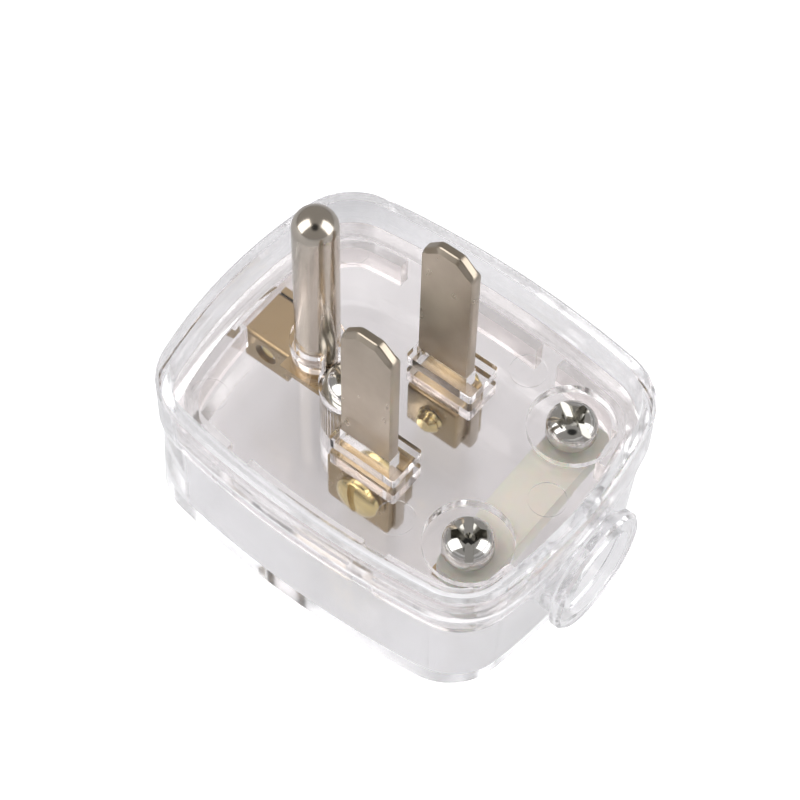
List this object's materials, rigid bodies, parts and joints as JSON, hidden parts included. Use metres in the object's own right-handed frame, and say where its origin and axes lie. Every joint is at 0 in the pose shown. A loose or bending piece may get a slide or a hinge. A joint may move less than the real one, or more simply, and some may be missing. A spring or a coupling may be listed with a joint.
{
  "type": "rewireable mains plug",
  "caption": "Rewireable three-pin mains plug with two flat blades, a round earth pin, a clear housing and a round cord collar.",
  "frame": {"origin": "on the flat back face, under the midpoint between the two blades", "axes": "+Z the way the pins point, +Y from the cord collar towards the earth pin, +X across the blades"},
  "size_m": [0.0374, 0.0489, 0.0406],
  "materials": {
    "clear_plastic": "clear gloss",
    "plated_pins": "nickel plated",
    "plated_screws": "bright plated",
    "brass": "plain brass",
    "ivory_plastic": "moulded, satin"
  },
  "bodies": {
    "root": {"rear_cover": "clear_plastic", "pin_plate": "clear_plastic", "earth_pin": "plated_pins", "live_blade": "plated_pins", "neutral_blade": "plated_pins", "live_clamp_plate": "brass", "neutral_clamp_plate": "brass", "live_washer": "brass", "neutral_washer": "brass", "live_terminal_screw": "brass", "neutral_terminal_screw": "brass", "live_terminal_nut": "brass", "neutral_terminal_nut": "brass", "earth_terminal": "brass", "earth_clamp_plate": "brass", "earth_washer": "brass", "earth_terminal_screw": "brass", "cord_clamp_bar": "ivory_plastic", "clamp_screw_left": "plated_screws", "clamp_screw_right": "plated_screws", "clamp_nut_left": "brass", "clamp_nut_right": "brass", "cover_screw": "plated_screws", "cover_screw_washer": "plated_screws", "cover_screw_nut": "brass"}
  },
  "joints": []
}
